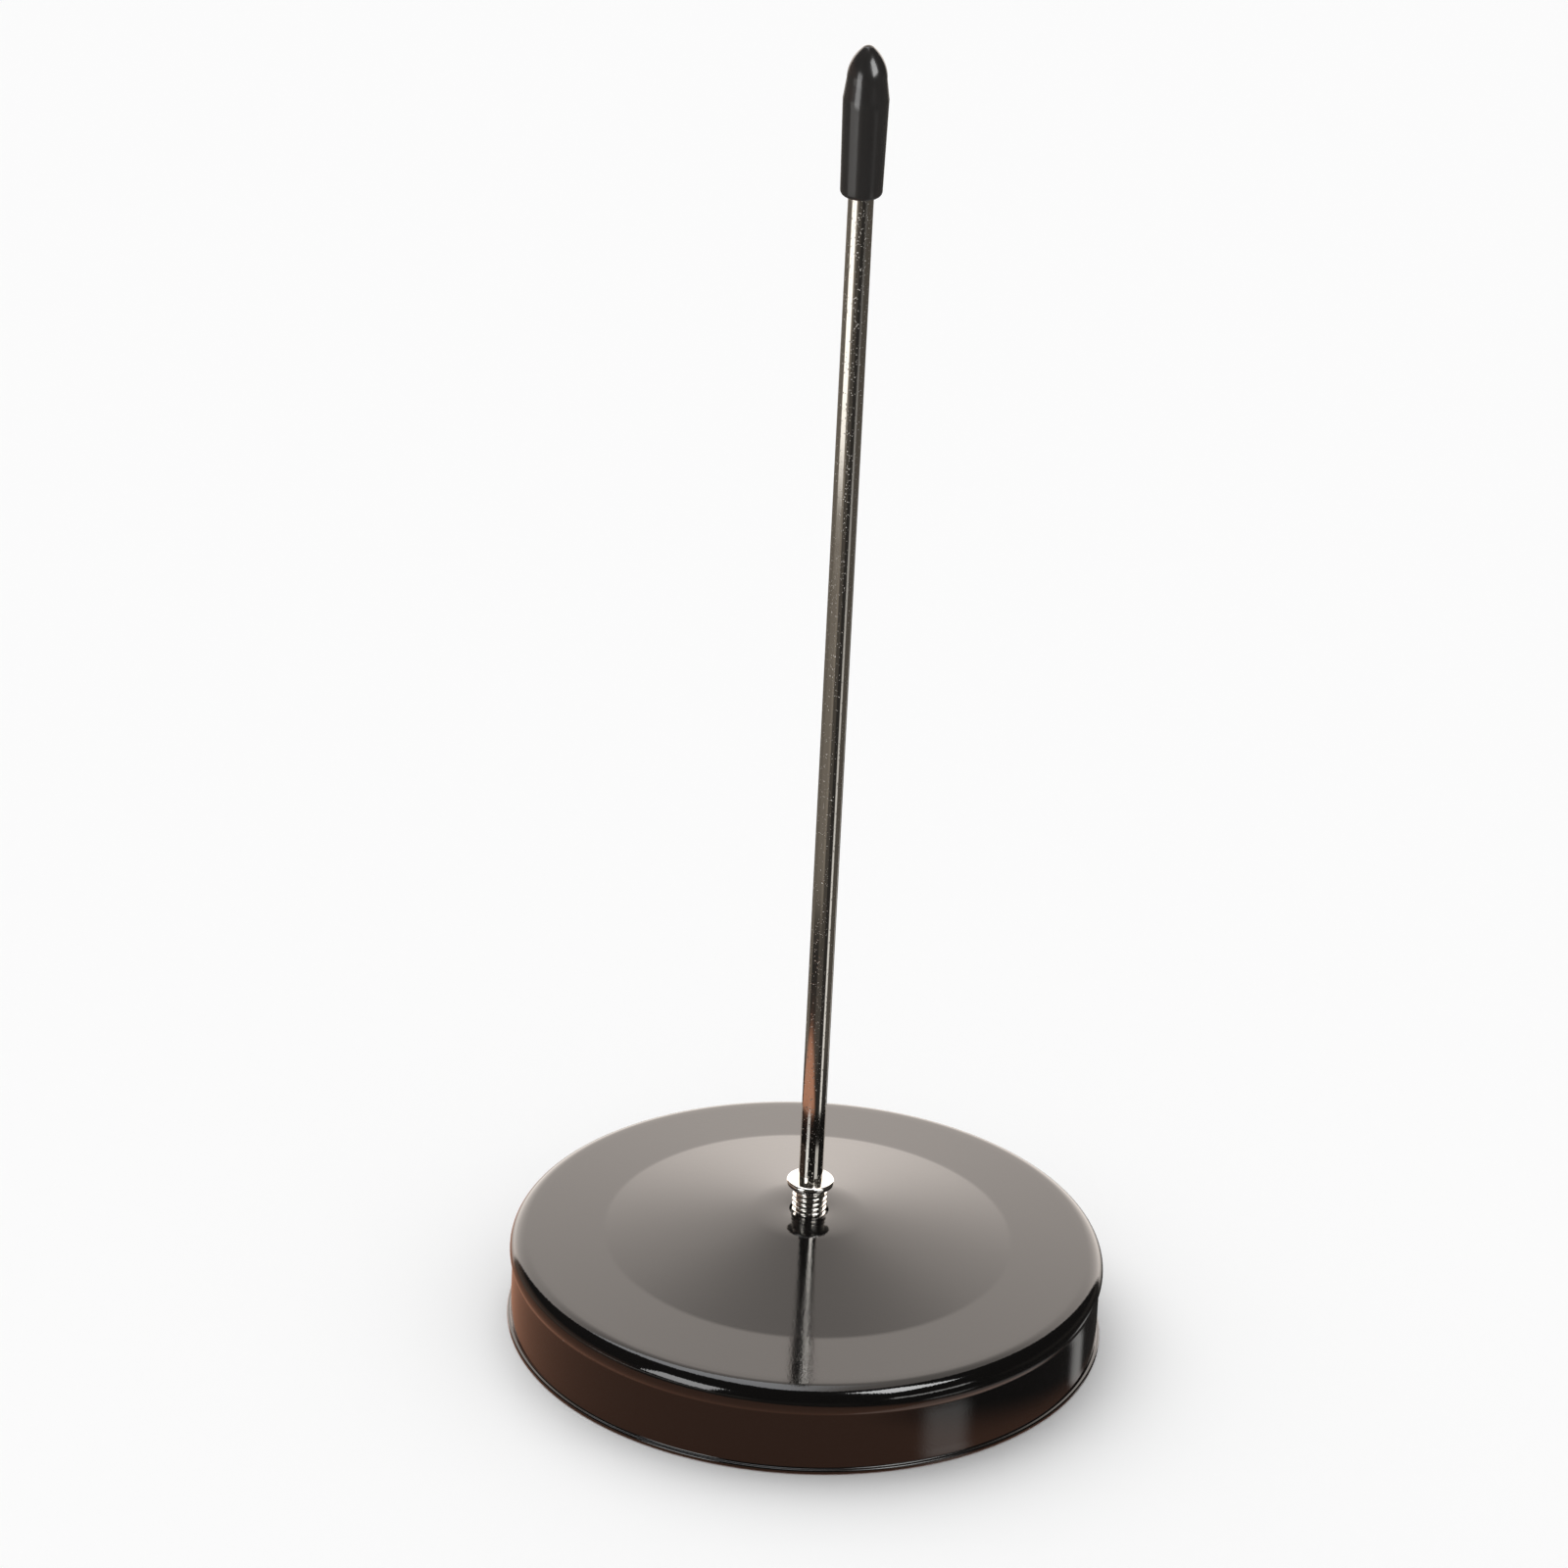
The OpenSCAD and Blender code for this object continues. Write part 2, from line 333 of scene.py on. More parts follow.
def pressed_base():
    """The base: painted face, rounded edge, neck, skirt, flared hem, and the hollow underside."""
    skirt_r = BASE_R - SKIRT_IN
    outside = sheet_line(0, FACE_STEPS)
    inside = sheet_line(SHEET_T, UNDER_STEPS)
    turn = 2 * math.atan2(HEM_R - skirt_r, FLARE_H)
    flare_round = FLARE_H / 2 / math.sin(turn)
    turn = math.degrees(turn)
    flare = [
        *arc((skirt_r + flare_round, HEM_H + FLARE_H), flare_round, 180, 180 + turn, ROUND_STEPS),
        *arc((HEM_R - flare_round, HEM_H), flare_round, turn, 0, ROUND_STEPS)[1:],
    ]
    hem = arc((HEM_R - HEM_ROUND, HEM_ROUND), HEM_ROUND, 0, -90, ROUND_STEPS)
    hole_rim = arc((HOLE_R + HOLE_ROUND, APEX_Z - HOLE_ROUND), HOLE_ROUND, 180, 90, HOLE_STEPS)
    outline = [
        (HOLE_R, APEX_Z - SHEET_T),
        *hole_rim,
        *outside,
        *straight(outside[-1], flare[0], SKIRT_STEPS),
        *flare,
        *hem,
        (skirt_r - SHEET_T, 0),
        *reversed(inside),
    ]
    base = turned("pressed_base", outline, BASE_SIDES)
    smooth(base, BASE_CRISP)
    return base


def weld_nut():
    """The hexagon nut under the cone, with chamfered corners and a countersunk, tapped hole."""
    height = nut_high.z - nut_low.z
    corner_r = nut_high.x
    face_r = NUT_FACE_SHARE * corner_r * math.cos(HALF_SIDE)
    reach = corner_r - face_r
    chamfer = reach * math.tan(NUT_CHAMFER)
    bpy.ops.object.select_all(action="DESELECT")
    bpy.ops.mesh.primitive_cylinder_add(
        vertices=HEX_SIDES, radius=corner_r, depth=height,
        location=(0, 0, nut_low.z + height / 2), rotation=(0, 0, HALF_SIDE),
    )
    nut = start_piece("weld_nut")
    blank = [
        (0, nut_low.z),
        (face_r, nut_low.z),
        (face_r + 2 * reach, nut_low.z + 2 * chamfer),
        (face_r + 2 * reach, nut_high.z - 2 * chamfer),
        (face_r, nut_high.z),
        (0, nut_high.z),
    ]
    sink = NUT_MOUTH_R - NUT_DRILL_R
    drill = [
        (0, nut_low.z - DRILL_PAST),
        (NUT_MOUTH_R + DRILL_PAST, nut_low.z - DRILL_PAST),
        (NUT_DRILL_R, nut_low.z + sink),
        (NUT_DRILL_R, nut_high.z - sink),
        (NUT_MOUTH_R + DRILL_PAST, nut_high.z + DRILL_PAST),
        (0, nut_high.z + DRILL_PAST),
    ]
    cut(nut, turned("nut_blank", blank, ROD_SIDES), "INTERSECT")
    cut(nut, turned("drill", drill, ROD_SIDES), "DIFFERENCE")
    cut(nut, threaded_bar("tap", NUT_ROOT_R, NUT_CREST_R, nut_low.z, nut_high.z), "DIFFERENCE")
    smooth(nut, NUT_CRISP)
    return nut


def screw_stud():
    """The collar and its threaded shank in one, bored for the rod's turned-down end."""
    collar_z = COLLAR_TOP_Z - COLLAR_T
    rim = COLLAR_R - COLLAR_ROUND
    collar = [
        (0, collar_z),
        (ROOT_R / 2, collar_z),
        *arc((rim, collar_z + COLLAR_ROUND), COLLAR_ROUND, -90, 0, ROUND_STEPS),
        *arc((rim, COLLAR_TOP_Z - COLLAR_ROUND), COLLAR_ROUND, 0, 90, ROUND_STEPS),
        (ROOT_R / 2, COLLAR_TOP_Z),
        (0, COLLAR_TOP_Z),
    ]
    shank_top = collar_z + COLLAR_T / 2
    outside = CREST_R + END_CHAMFER
    blank = [
        (0, SHANK_Z),
        (CREST_R - END_CHAMFER, SHANK_Z),
        (outside, SHANK_Z + 2 * END_CHAMFER),
        (outside, shank_top),
        (0, shank_top),
    ]
    bore_r = TENON_R + TENON_GAP
    bore_low = COLLAR_TOP_Z - TENON_L - TENON_ROOM
    bore_high = COLLAR_TOP_Z + COLLAR_T
    bore = [(0, bore_low), (bore_r, bore_low), (bore_r, bore_high), (0, bore_high)]
    stud = threaded_bar("screw_stud", ROOT_R, CREST_R, SHANK_Z, shank_top)
    cut(stud, turned("shank_blank", blank, ROD_SIDES), "INTERSECT")
    cut(stud, turned("collar_disc", collar, ROD_SIDES), "UNION")
    cut(stud, turned("bore", bore, ROD_SIDES), "DIFFERENCE")
    smooth(stud, STUD_CRISP)
    return stud


def plated_rod():
    """The straight rod with its turned-down foot and its ground point."""
    foot = COLLAR_TOP_Z - TENON_L
    shoulder = (ROD_R, COLLAR_TOP_Z)
    point_foot = (ROD_R, POINT_Z - POINT_L)
    outline = [
        (0, foot),
        (TENON_R, foot),
        (TENON_R, COLLAR_TOP_Z),
        shoulder,
        *straight(shoulder, point_foot, LONG_STEPS),
        point_foot,
        *straight(point_foot, (POINT_R, POINT_Z), TAPER_STEPS),
        (POINT_R, POINT_Z),
        (0, POINT_Z),
    ]
    rod = turned("plated_rod", outline, ROD_SIDES)
    smooth(rod, ROD_CRISP)
    return rod


def vinyl_cap():
    """The soft cap: rounded mouth, slight shoulder, bullet nose and the bore for the point."""
    mouth_z = cap_low.z
    top_z = cap_high.z
    bore_r = ROD_R + CAP_GAP
    bore_top = POINT_Z + CAP_GAP
    mouth = arc((CAP_MOUTH_R - CAP_LIP, mouth_z + CAP_LIP), CAP_LIP, -90, 0, ROUND_STEPS)
    shoulder = (CAP_SHOULDER_R, mouth_z + CAP_SHOULDER_L)
    rise = CAP_NOSE_L - CAP_TIP_R
    side = (CAP_NOSE_R**2 - CAP_TIP_R**2 + rise**2) / 2 / (CAP_NOSE_R - CAP_TIP_R)
    turn = math.degrees(math.atan2(rise, side - CAP_NOSE_R))
    nose = [
        *arc((CAP_NOSE_R - side, top_z - CAP_NOSE_L), side, 0, turn, LONG_STEPS),
        *arc((0, top_z - CAP_TIP_R), CAP_TIP_R, turn, 90, TIP_STEPS)[1:-1],
    ]
    outline = [
        (0, bore_top),
        (POINT_R + CAP_GAP, bore_top),
        (bore_r, bore_top - POINT_L),
        (bore_r, mouth_z),
        *mouth,
        *straight(mouth[-1], shoulder, LONG_STEPS),
        shoulder,
        *straight(shoulder, nose[0], TAPER_STEPS),
        *nose,
        (0, top_z),
    ]
    cap = turned("vinyl_cap", outline, CAP_SIDES)
    smooth(cap, CAP_CRISP)
    return cap


# Node building

SPECK_RAGGED_FINENESS = 3.0
SPECK_RAGGED_SHIFT = 0.7
SPECK_SMALLEST = 0.35
SPECK_CORE = 0.6
CLOUD_FROM = 0.35
CLOUD_TO = 0.65


def add_node(tree, kind, inputs=None, **settings):
    """A node with its settings, whose inputs take plain values or links from other nodes' outputs."""
    node = tree.nodes.new(kind)
    for setting, value in settings.items():
        setattr(node, setting, value)
    for socket, value in (inputs or {}).items():
        if isinstance(value, bpy.types.NodeSocket):
            tree.links.new(value, node.inputs[socket])
        else:
            node.inputs[socket].default_value = value
    return node


def maths(tree, operation, first, second=0.0, third=0.0):
    """The output of a Math node."""
    inputs = {0: first, 1: second, 2: third}
    return add_node(tree, "ShaderNodeMath", inputs, operation=operation).outputs[0]


def ramp_between(tree, value, low, high, to_low=0.0, to_high=1.0):
    """The output of a Map Range node that eases between two values."""
    inputs = {"Value": value, "From Min": low, "From Max": high, "To Min": to_low, "To Max": to_high}
    return add_node(tree, "ShaderNodeMapRange", inputs, interpolation_type="SMOOTHSTEP").outputs[0]


def mix_colour(tree, mask, first, second):
    """The output of a Mix node between two colours."""
    node = add_node(tree, "ShaderNodeMix", data_type="RGBA")
    for socket, value in (("Factor_Float", mask), ("A_Color", first), ("B_Color", second)):
        target = next(item for item in node.inputs if item.identifier == socket)
        if isinstance(value, bpy.types.NodeSocket):
            tree.links.new(value, target)
        else:
            target.default_value = value
    return next(item for item in node.outputs if item.identifier == "Result_Color")


def new_group(name, inputs, output):
    """A shader node group with float inputs and one float output."""
    group = bpy.data.node_groups.new(name, "ShaderNodeTree")
    for name_in, value in inputs.items():
        socket = group.interface.new_socket(name_in, in_out="INPUT", socket_type="NodeSocketFloat")
        socket.default_value = value
    group.interface.new_socket(output, in_out="OUTPUT", socket_type="NodeSocketFloat")
    ends = add_node(group, "NodeGroupInput"), add_node(group, "NodeGroupOutput")
    return group, ends[0].outputs, ends[1].inputs[output]


def use_group(tree, group, **inputs):
    """The first output of a group that is placed in a material with its own values."""
    node = add_node(tree, "ShaderNodeGroup", node_tree=group)
    for socket, value in inputs.items():
        node.inputs[socket.replace("_", " ")].default_value = value
    return node.outputs[0]


def placed_on_piece(tree, along):
    """Object coordinates in millimetres, with those along Z divided by a value to draw patterns out."""
    coordinates = add_node(tree, "ShaderNodeTexCoord").outputs["Object"]
    drawn = add_node(tree, "ShaderNodeCombineXYZ", {0: 1 / MM, 1: 1 / MM})
    tree.links.new(maths(tree, "DIVIDE", 1 / MM, along), drawn.inputs[2])
    inputs = {0: coordinates, 1: drawn.outputs[0]}
    return add_node(tree, "ShaderNodeVectorMath", inputs, operation="MULTIPLY").outputs[0]


def fine_grain_group():
    """Height of a fine uneven surface: orange peel in paint, lines on plating, unevenness in vinyl."""
    inputs = {"Size": 1.0, "Drawn Out": 1.0, "Detail": 2.0}
    group, given, result = new_group("fine grain", inputs, "Height")
    place = placed_on_piece(group, given["Drawn Out"])
    per_size = maths(group, "DIVIDE", 1.0, given["Size"])
    noise = add_node(
        group, "ShaderNodeTexNoise", {"Vector": place, "Scale": per_size, "Detail": given["Detail"]}
    )
    group.links.new(noise.outputs["Fac"], result)
    return group


def speck_group():
    """Mask of small uneven specks: one speck in a share of the cells of a fine net."""
    inputs = {"Spacing": 2.0, "Drawn Out": 1.0, "Width": 0.1, "Share": 0.2}
    group, given, result = new_group("specks", inputs, "Mask")
    place = placed_on_piece(group, given["Drawn Out"])
    per_cell = maths(group, "DIVIDE", 1.0, given["Spacing"])
    fineness = maths(group, "MULTIPLY", per_cell, SPECK_RAGGED_FINENESS)
    ragged = add_node(group, "ShaderNodeTexNoise", {"Vector": place, "Scale": fineness})
    shift = add_node(group, "ShaderNodeVectorMath", {0: ragged.outputs["Color"]}, operation="SCALE")
    reach = maths(group, "MULTIPLY", given["Spacing"], SPECK_RAGGED_SHIFT)
    group.links.new(reach, shift.inputs["Scale"])
    inputs = {0: place, 1: shift.outputs[0]}
    moved = add_node(group, "ShaderNodeVectorMath", inputs, operation="ADD").outputs[0]
    cells = add_node(group, "ShaderNodeTexVoronoi", {"Vector": moved, "Scale": per_cell})
    picked = add_node(group, "ShaderNodeSeparateColor", {0: cells.outputs["Color"]})
    chosen = maths(group, "LESS_THAN", picked.outputs[0], given["Share"])
    size = maths(group, "ADD", picked.outputs[1], SPECK_SMALLEST)
    width = maths(group, "MULTIPLY", given["Width"], size)
    near = maths(group, "DIVIDE", cells.outputs["Distance"], width)
    spot = ramp_between(group, near, 1.0, SPECK_CORE)
    group.links.new(maths(group, "MULTIPLY", spot, chosen), result)
    return group


def cloudy_group():
    """A slow, cloudy change from a low to a high value, as handling and uneven drying leave it."""
    group, given, result = new_group("cloudy", {"Size": 12.0, "Low": 0.1, "High": 0.2}, "Value")
    place = placed_on_piece(group, 1.0)
    per_size = maths(group, "DIVIDE", 1.0, given["Size"])
    noise = add_node(group, "ShaderNodeTexNoise", {"Vector": place, "Scale": per_size, "Detail": 3.0})
    fac = noise.outputs["Fac"]
    value = ramp_between(group, fac, CLOUD_FROM, CLOUD_TO, given["Low"], given["High"])
    group.links.new(value, result)
    return group


fine_grain = fine_grain_group()
specks = speck_group()
cloudy = cloudy_group()


# Materials

PAINT_BLACK = (0.0050, 0.0046, 0.0044, 1)
PAINT_DUST = (0.33, 0.32, 0.30, 1)
PAINT_DUST_ROUGH = 0.5
PAINT_SWELL = 0.004 * MM
PAINT_PEEL = 0.006 * MM
PAINT_IOR = 1.5
STUD_BRIGHT = (0.82, 0.80, 0.76)
ROD_BRIGHT = (0.70, 0.67, 0.62)
PIT_SHADE = 0.45
PIT_ROUGH = 0.25
PIT_DEPTH = 0.014 * MM
LINE_DEPTH = 0.0012 * MM
LINE_STRETCH = 6
VINYL_BLACK = (0.027, 0.025, 0.024, 1)
VINYL_DUST = (0.20, 0.19, 0.18, 1)
VINYL_DUST_ROUGH = 0.4
VINYL_GRAIN = 0.006 * MM
VINYL_IOR = 1.42
ZINC_DARK = (0.42, 0.42, 0.41, 1)
ZINC_PALE = (0.58, 0.57, 0.54, 1)
ZINC_GRAIN = 0.008 * MM


def empty_material(name):
    """A material without nodes, and its node tree."""
    material = bpy.data.materials.new(name)
    material.use_nodes = True
    material.node_tree.nodes.clear()
    return material, material.node_tree


def new_material(name):
    """A material with a Principled shader and its output."""
    material, tree = empty_material(name)
    shader = add_node(tree, "ShaderNodeBsdfPrincipled")
    output = add_node(tree, "ShaderNodeOutputMaterial")
    tree.links.new(shader.outputs[0], output.inputs["Surface"])
    return material, tree, shader


def bump(tree, height, depth, before=None):
    """The normal that a height gives, with its depth in metres."""
    node = add_node(tree, "ShaderNodeBump", {"Height": height, "Strength": 1.0, "Distance": depth})
    if before is not None:
        tree.links.new(before, node.inputs["Normal"])
    return node.outputs[0]


def gloss_paint():
    """Gloss black paint with a little orange peel and a few grains of dust."""
    material, tree, shader = new_material("gloss_black_paint")
    dust = use_group(tree, specks, Spacing=4.5, Width=0.022, Share=0.35)
    grain = use_group(tree, fine_grain, Size=0.28, Detail=1.0)
    swell = use_group(tree, fine_grain, Size=7.0, Detail=1.0)
    haze = use_group(tree, cloudy, Size=14.0, Low=0.06, High=0.09)
    colour = mix_colour(tree, dust, PAINT_BLACK, PAINT_DUST)
    tree.links.new(colour, shader.inputs["Base Color"])
    rough = maths(tree, "MULTIPLY_ADD", dust, PAINT_DUST_ROUGH, haze)
    tree.links.new(rough, shader.inputs["Roughness"])
    normal = bump(tree, swell, PAINT_SWELL)
    tree.links.new(bump(tree, grain, PAINT_PEEL, normal), shader.inputs["Normal"])
    shader.inputs["IOR"].default_value = PAINT_IOR
    return material


def plating(name, colour, pit_share, drawn):
    """Bright plating over drawn wire or turned steel, with pits and faint lines."""
    material, tree, shader = new_material(name)
    pits = use_group(tree, specks, Spacing=0.26, Drawn_Out=drawn, Width=0.32, Share=pit_share)
    lines = use_group(tree, fine_grain, Size=0.16, Drawn_Out=LINE_STRETCH * drawn, Detail=2.0)
    haze = use_group(tree, cloudy, Size=9.0, Low=0.06, High=0.11)
    shade = tuple(PIT_SHADE * value for value in colour)
    tree.links.new(mix_colour(tree, pits, (*colour, 1), (*shade, 1)), shader.inputs["Base Color"])
    rough = maths(tree, "MULTIPLY_ADD", pits, PIT_ROUGH, haze)
    tree.links.new(rough, shader.inputs["Roughness"])
    normal = bump(tree, lines, LINE_DEPTH)
    hollow = maths(tree, "SUBTRACT", 1.0, pits)
    tree.links.new(bump(tree, hollow, PIT_DEPTH, normal), shader.inputs["Normal"])
    shader.inputs["Metallic"].default_value = 1.0
    return material


def soft_vinyl():
    """Glossy black vinyl, a little uneven as dipped, with a few grains of dust."""
    material, tree, shader = new_material("soft_black_vinyl")
    dust = use_group(tree, specks, Spacing=2.2, Width=0.03, Share=0.3)
    grain = use_group(tree, fine_grain, Size=0.9, Detail=2.0)
    haze = use_group(tree, cloudy, Size=5.0, Low=0.16, High=0.22)
    colour = mix_colour(tree, dust, VINYL_BLACK, VINYL_DUST)
    tree.links.new(colour, shader.inputs["Base Color"])
    rough = maths(tree, "MULTIPLY_ADD", dust, VINYL_DUST_ROUGH, haze)
    tree.links.new(rough, shader.inputs["Roughness"])
    tree.links.new(bump(tree, grain, VINYL_GRAIN), shader.inputs["Normal"])
    shader.inputs["IOR"].default_value = VINYL_IOR
    return material


def zinc_steel():
    """Dull zinc-coated steel with a mottled grain."""
    material, tree, shader = new_material("zinc_steel")
    grain = use_group(tree, fine_grain, Size=0.25, Detail=4.0)
    mottle = use_group(tree, cloudy, Size=1.6, Low=0.0, High=1.0)
    haze = use_group(tree, cloudy, Size=2.4, Low=0.28, High=0.46)
    tree.links.new(mix_colour(tree, mottle, ZINC_DARK, ZINC_PALE), shader.inputs["Base Color"])
    tree.links.new(haze, shader.inputs["Roughness"])
    tree.links.new(bump(tree, grain, ZINC_GRAIN), shader.inputs["Normal"])
    shader.inputs["Metallic"].default_value = 1.0
    return material


# The object

def dress(piece, node, body, material):
    """A finished piece gets its material and stands for its CAD node."""
    piece.data.materials.clear()
    piece.data.materials.append(material)
    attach(piece, body)
    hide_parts(node)


stud_finish = plating("stud_plating", STUD_BRIGHT, pit_share=0.08, drawn=1.0)
rod_finish = plating("rod_plating", ROD_BRIGHT, pit_share=0.45, drawn=1.2)
dress(pressed_base(), "base_shell", "base", gloss_paint())
dress(weld_nut(), "base_nut", "base", zinc_steel())
dress(screw_stud(), "threaded_stud", "stud", stud_finish)
dress(plated_rod(), "spike_rod", "spike", rod_finish)
dress(vinyl_cap(), "tip_cap", "cap", soft_vinyl())


# Floor

FLOOR_SIZE = 6.0
FLOOR_DROP = 0.05 * MM
FLOOR_WHITE = (0.96, 0.96, 0.96, 1)


def pale_floor():
    """A plain pale floor just under the hem."""
    bpy.ops.object.select_all(action="DESELECT")
    bpy.ops.mesh.primitive_plane_add(size=FLOOR_SIZE, location=(0, 0, -FLOOR_DROP))
    floor = start_piece("pale_floor")
    material, _, shader = new_material("pale_floor")
    shader.inputs["Base Color"].default_value = FLOOR_WHITE
    shader.inputs["Roughness"].default_value = 1.0
    shader.inputs["Specular IOR Level"].default_value = 0.0
    floor.data.materials.append(material)
    floor.visible_glossy = False


pale_floor()


# Light

DEGREES = 180 / math.pi
WHITE = (1, 1, 1, 1)
SWEEP_WHITE = (1.1, 1.0, 0.925)
WARM_WHITE = (1.0, 0.985, 0.96)
WARM_DARK = (1.0, 0.62, 0.45)
COOL_WHITE = (0.93, 1.0, 1.08)
FLOOR_WARM = (1.0, 0.46, 0.28)
FLOOR_GREY = (1.0, 0.88, 0.74)
UNLIT = (0.032, 0.030, 0.028, 1)
FILL_LEVEL = 0.62
SWEEP_FROM = -0.45
SWEEP_PLANES = ((0, 1, 0.29), (0.36, 1, 0.34), (1.1, 1, 0.39), (-1.25, 1, 0.45))
SWEEP_EDGE = 0.025
OVERHEAD_PLANES = (((0, -1, 0.45), 0.03), ((-1, 0, 0.05), 0.14))
OVERHEAD_LEVEL = 2.5
BOX_WATTS = 4
LAMP_TILT = (math.radians(-28), math.radians(-18), 0)
LAMP_LEVEL = 1.45
LAMP_SPREAD = math.radians(70)
LIT_FLOOR_SIZE = 2.0
LIT_FLOOR_DROP = 0.03 * MM
WARM_MIDDLE = (-25 * MM, -11 * MM, 0)
WARM_REACH = (69 * MM, 57 * MM)
WARM_LEVEL = 0.5
FLOOR_PART_EDGE = 4.0
FLOOR_PART_FROM = 0.9
FLOOR_PART_TO = 1.1

# From one elevation to another, in degrees, the sweep's level goes from one value to another
LOW_DIMMER = (5.0, 30.0, 1.07, 1.0)
HIGH_DIMMER = (36.0, 58.0, 2.38, 1.3)

# Parts of the lit floor: colour, level, middle and half width in degrees, and nearest distance
FLOOR_PARTS = (
    (WARM_WHITE, 1.5, -55, 23, 300 * MM),
    (FLOOR_GREY, 0.16, -55, 40, 130 * MM),
    (FLOOR_GREY, 0.13, -138, 42, 80 * MM),
    (FLOOR_GREY, 0.05, -8, 25, 80 * MM),
    (FLOOR_GREY, 0.06, 112, 44, 80 * MM),
)


def panel_group():
    """Mask of a soft-edged light panel, by azimuth from the viewer's side and elevation, in degrees."""
    inputs = {
        "Azimuth": 0, "Elevation": 0, "Middle": 0, "Half Width": 10, "Bottom": 0, "Top": 10, "Edge": 3,
    }
    group, given, result = new_group("light panel", inputs, "Mask")
    across = maths(group, "SUBTRACT", given["Azimuth"], given["Middle"])
    spare = maths(group, "SUBTRACT", given["Half Width"], maths(group, "ABSOLUTE", across))
    rise = maths(group, "SUBTRACT", given["Elevation"], given["Bottom"])
    fall = maths(group, "SUBTRACT", given["Top"], given["Elevation"])
    mask = 1.0
    for margin in (spare, rise, fall):
        share = ramp_between(group, maths(group, "DIVIDE", margin, given["Edge"]), -0.5, 0.5)
        mask = maths(group, "MULTIPLY", share, mask)
    group.links.new(mask, result)
    return group


def side_of_plane(tree, way, plane, edge):
    """Mask of the directions on the side of a plane that it faces, with a soft edge."""
    facing = Vector(plane).normalized()
    dot = add_node(tree, "ShaderNodeVectorMath", {0: way, 1: facing}, operation="DOT_PRODUCT")
    return ramp_between(tree, dot.outputs["Value"], -edge, edge)


def azimuth_of(tree, axes):
    """Azimuth in degrees from the viewer's side, of a direction or place given by its axes."""
    toward = maths(tree, "MULTIPLY", axes[1], -1.0)
    return maths(tree, "MULTIPLY", maths(tree, "ARCTAN2", axes[0], toward), DEGREES)


def studio_world():
    """White behind the object, an even fill light, and a bright sweep and panels in shiny surfaces."""
    world = bpy.data.worlds.new("studio")
    bpy.context.scene.world = world
    world.use_nodes = True
    world.cycles.sampling_method = "NONE"
    tree = world.node_tree
    tree.nodes.clear()
    way = add_node(tree, "ShaderNodeTexCoord").outputs["Generated"]
    axes = add_node(tree, "ShaderNodeSeparateXYZ", {0: way}).outputs
    azimuth = azimuth_of(tree, axes)
    elevation = maths(tree, "MULTIPLY", maths(tree, "ARCSINE", axes[2]), DEGREES)

    # A white sweep rises behind the object and ends overhead, with a brighter end on the left.
    sweep = ramp_between(tree, axes[2], SWEEP_FROM, 0.0)
    for plane in SWEEP_PLANES:
        sweep = maths(tree, "MULTIPLY", sweep, side_of_plane(tree, way, plane, SWEEP_EDGE))
    overhead = sweep
    for plane, edge in OVERHEAD_PLANES:
        overhead = maths(tree, "MULTIPLY", overhead, side_of_plane(tree, way, plane, edge))
    low_part = ramp_between(tree, elevation, *LOW_DIMMER)
    high_part = ramp_between(tree, elevation, *HIGH_DIMMER)
    dimmer = maths(tree, "MULTIPLY", low_part, high_part)

    panel = panel_group()
    lights = [
        (SWEEP_WHITE, maths(tree, "MULTIPLY", sweep, dimmer)),
        (COOL_WHITE, maths(tree, "MULTIPLY", overhead, OVERHEAD_LEVEL)),
    ]
    panels = [
        (WARM_DARK, 0.26, {"Middle": -105, "Half Width": 40, "Bottom": -12, "Top": 9, "Edge": 10}),
        (WARM_WHITE, 1.15, {"Middle": 60, "Half Width": 9, "Bottom": -32.5, "Top": -26, "Edge": 9}),
        (WARM_WHITE, 0.3, {"Middle": 100, "Half Width": 42, "Bottom": -90, "Top": -42, "Edge": 8}),
        (WARM_WHITE, 0.7, {"Middle": 138, "Half Width": 5, "Bottom": -34, "Top": -26, "Edge": 6}),
        (WARM_WHITE, 3.5, {"Middle": 49, "Half Width": 15, "Bottom": 4, "Top": 11, "Edge": 3}),
    ]
    for colour, strength, places in panels:
        inputs = {"Azimuth": azimuth, "Elevation": elevation, **places}
        node = add_node(tree, "ShaderNodeGroup", inputs, node_tree=panel)
        lights.append((colour, maths(tree, "MULTIPLY", node.outputs[0], strength)))

    shown = add_node(tree, "ShaderNodeBackground", {"Color": UNLIT, "Strength": 1.0}).outputs[0]
    for colour, strength in lights:
        light = add_node(tree, "ShaderNodeBackground", {"Color": (*colour, 1), "Strength": strength})
        shown = add_node(tree, "ShaderNodeAddShader", {0: shown, 1: light.outputs[0]}).outputs[0]

    rays = add_node(tree, "ShaderNodeLightPath").outputs
    mirrored = maths(tree, "MAXIMUM", rays["Is Glossy Ray"], rays["Is Transmission Ray"])
    fill = add_node(tree, "ShaderNodeBackground", {"Color": WHITE, "Strength": FILL_LEVEL}).outputs[0]
    behind = add_node(tree, "ShaderNodeBackground", {"Color": WHITE, "Strength": 1.0}).outputs[0]
    lit = add_node(tree, "ShaderNodeMixShader", {0: mirrored, 1: fill, 2: shown}).outputs[0]
    seen = add_node(tree, "ShaderNodeMixShader", {0: rays["Is Camera Ray"], 1: lit, 2: behind})
    output = add_node(tree, "ShaderNodeOutputWorld")
    tree.links.new(seen.outputs[0], output.inputs["Surface"])


